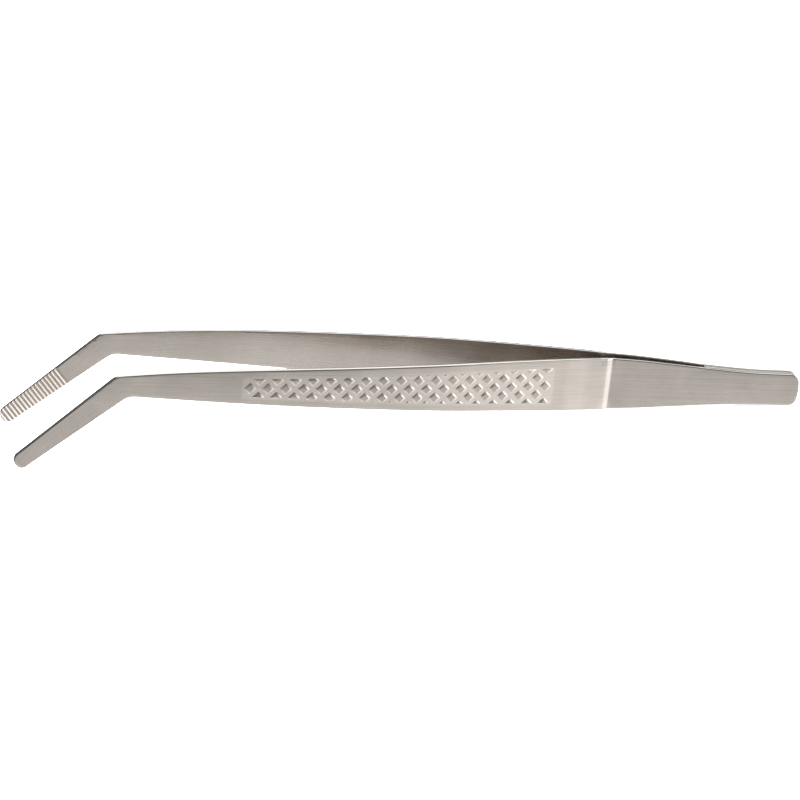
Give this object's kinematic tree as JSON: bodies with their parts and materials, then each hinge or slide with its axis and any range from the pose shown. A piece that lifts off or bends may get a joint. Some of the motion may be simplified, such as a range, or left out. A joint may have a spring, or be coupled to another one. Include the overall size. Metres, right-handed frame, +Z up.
{
  "type": "offset-tip tweezer tongs",
  "caption": "Sprung steel tweezer tongs: two bowed arms with studded grips and bent, serrated jaws, welded at a thin sprung tail.",
  "frame": {"origin": "bottom centre of the bounding box, on the surface that the two jaw tips and the tail stand on", "axes": "+X from the jaw tips towards the tail, +Z up, +Y towards the right arm as seen from the tail; Y = 0 is the mirror plane"},
  "size_m": [0.2018, 0.0324, 0.0224],
  "materials": {
    "brushed_steel": "fine lengthwise brushing with polished edges",
    "spacer_steel": "plain bright-drawn bar",
    "weld_bead": "ground flush, slightly rippled"
  },
  "bodies": {
    "tail": {"left_tail_leaf": "brushed_steel", "right_tail_leaf": "brushed_steel", "tail_spacer": "spacer_steel", "weld_seam_top": "weld_bead", "weld_seam_bottom": "weld_bead", "left_spring_leaf": "brushed_steel", "right_spring_leaf": "brushed_steel"},
    "left_arm": {"left_arm": "brushed_steel"},
    "right_arm": {"right_arm": "brushed_steel"}
  },
  "joints": [
    {"name": "left_arm_flex", "type": "hinge", "parent": "tail", "child": "left_arm", "pos_m": [0.06315, -0.00167, 0.00813], "axis": [-0.0866, 0, -0.9962], "range_deg": [0, 5.15], "stiffness_Nm_per_rad": 7.8, "deforming": ["left_spring_leaf"]},
    {"name": "right_arm_flex", "type": "hinge", "parent": "tail", "child": "right_arm", "pos_m": [0.06315, 0.00167, 0.00813], "axis": [0.0866, 0, 0.9962], "range_deg": [0, 5.15], "stiffness_Nm_per_rad": 7.8, "deforming": ["right_spring_leaf"]}
  ]
}
